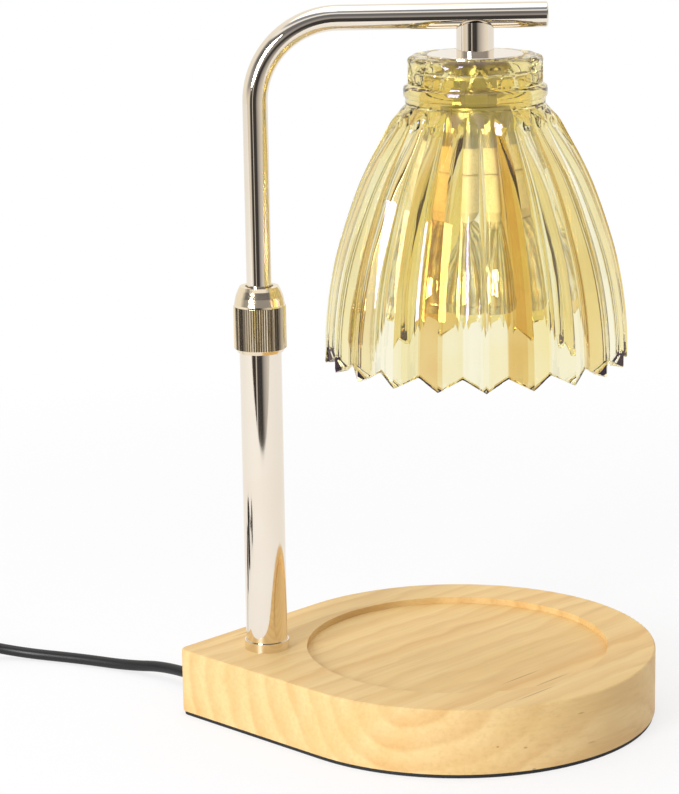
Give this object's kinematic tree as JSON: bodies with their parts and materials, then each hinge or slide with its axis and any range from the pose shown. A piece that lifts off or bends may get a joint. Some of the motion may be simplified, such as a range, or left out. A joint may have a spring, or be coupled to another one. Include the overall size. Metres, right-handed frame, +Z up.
{
  "type": "candle warmer lamp",
  "caption": "Candle warmer lamp: drop-shaped wooden base with a dish, height-adjustable post with a knurled lock collar, swing arm, ribbed amber glass shade, bulb and dimmer.",
  "frame": {"origin": "on the resting surface, under the centre of the round dish that the candle stands in", "axes": "+Z up, +X from the post towards the dish, +Y to the back as the picture sees it"},
  "size_m": [0.408, 0.1939, 0.2747],
  "materials": {
    "pine_wood": "sanded, clear matt oil",
    "black_foam": "closed-cell foam sheet",
    "gold_plate": "polished, pale gold plated",
    "gold_knurl": "straight knurled and plated",
    "zinc_steel": "zinc plated",
    "white_nylon": "moulded",
    "amber_glass": "pressed, amber lustre",
    "silicone": "soft, translucent",
    "white_ceramic": "fired, unglazed",
    "contact_brass": "spring temper",
    "nickel": "nickel plated",
    "reflector_glass": "faceted, mirror coated",
    "clear_glass": "clear",
    "tungsten": "drawn wire",
    "lead_insulation": "extruded",
    "black_cord": "extruded, satin",
    "black_plastic": "fine moulded grain",
    "wheel_plastic": "moulded, ribbed edge",
    "circuit_board": "laminate"
  },
  "bodies": {
    "base": {"base_block": "pine_wood", "base_pad": "black_foam", "post_flange": "gold_plate", "post_washer": "zinc_steel", "post_nut": "zinc_steel", "post_nipple": "zinc_steel", "post_insert": "zinc_steel", "post_tube": "gold_plate", "clamp_collet": "white_nylon", "strain_relief": "black_cord", "post_lead": "lead_insulation", "lead_slack": "lead_insulation", "power_cord": "black_cord", "dimmer_base": "black_plastic", "dimmer_cover": "black_plastic", "dimmer_control": "black_plastic", "dimmer_board": "circuit_board", "dimmer_screws": "zinc_steel", "dimmer_boots": "black_cord", "dimmer_cord": "black_cord", "cord_coil": "black_cord", "plug_lead": "black_cord", "plug_body": "black_plastic", "plug_blades": "nickel"},
    "pressure_ring": {"pressure_ring": "white_nylon"},
    "lock_collar": {"lock_collar": "gold_knurl"},
    "guide_bush": {"guide_bush": "white_nylon"},
    "swing_arm": {"upper_tube": "gold_plate", "arm_end_cap": "gold_plate", "bush_clips": "zinc_steel", "arm_stem": "gold_plate", "stem_nipple": "zinc_steel", "canopy_disc": "gold_plate", "shade_gaskets": "silicone", "glass_shade": "amber_glass", "shade_washer": "zinc_steel", "shade_nut": "zinc_steel", "socket_cap": "zinc_steel", "cap_nuts": "zinc_steel", "socket_body": "white_ceramic", "socket_contacts": "contact_brass", "terminal_screws": "zinc_steel", "arm_lead": "lead_insulation"},
    "bulb": {"bulb_base": "white_ceramic", "bulb_pins": "nickel", "bulb_reflector": "reflector_glass", "bulb_lens": "clear_glass", "bulb_capsule": "clear_glass", "bulb_filament": "tungsten"},
    "dimmer_wheel": {"dimmer_wheel": "wheel_plastic"}
  },
  "joints": [
    {"name": "height_slide", "type": "slide", "parent": "base", "child": "guide_bush", "axis": [0, 0, 1], "range_m": [-0.055, 0.04], "deforming": ["lead_slack"]},
    {"name": "arm_swing", "type": "hinge", "parent": "guide_bush", "child": "swing_arm", "pos_m": [-0.074, 0, 0.115], "axis": [0, 0, 1], "range_deg": [-180, 180]},
    {"name": "ring_lift", "type": "slide", "parent": "base", "child": "pressure_ring", "axis": [0, 0, 1], "range_m": [0, 0.001]},
    {"name": "collar_turn", "type": "hinge", "parent": "pressure_ring", "child": "lock_collar", "pos_m": [-0.074, 0, 0.157], "axis": [0, 0, 1], "range_deg": [0, 360]},
    {"name": "bulb_twist", "type": "hinge", "parent": "swing_arm", "child": "bulb", "pos_m": [0.008, 0, 0.2115], "axis": [0, 0, -1], "range_deg": [0, 30]},
    {"name": "dimmer_turn", "type": "hinge", "parent": "base", "child": "dimmer_wheel", "pos_m": [-0.254, 0.0679, 0.0106], "axis": [0, 0, 1], "range_deg": [0, 270]}
  ],
  "couplings": [
    {"joint": "ring_lift", "follows": "collar_turn", "m_per_rad": 0.00015915}
  ]
}
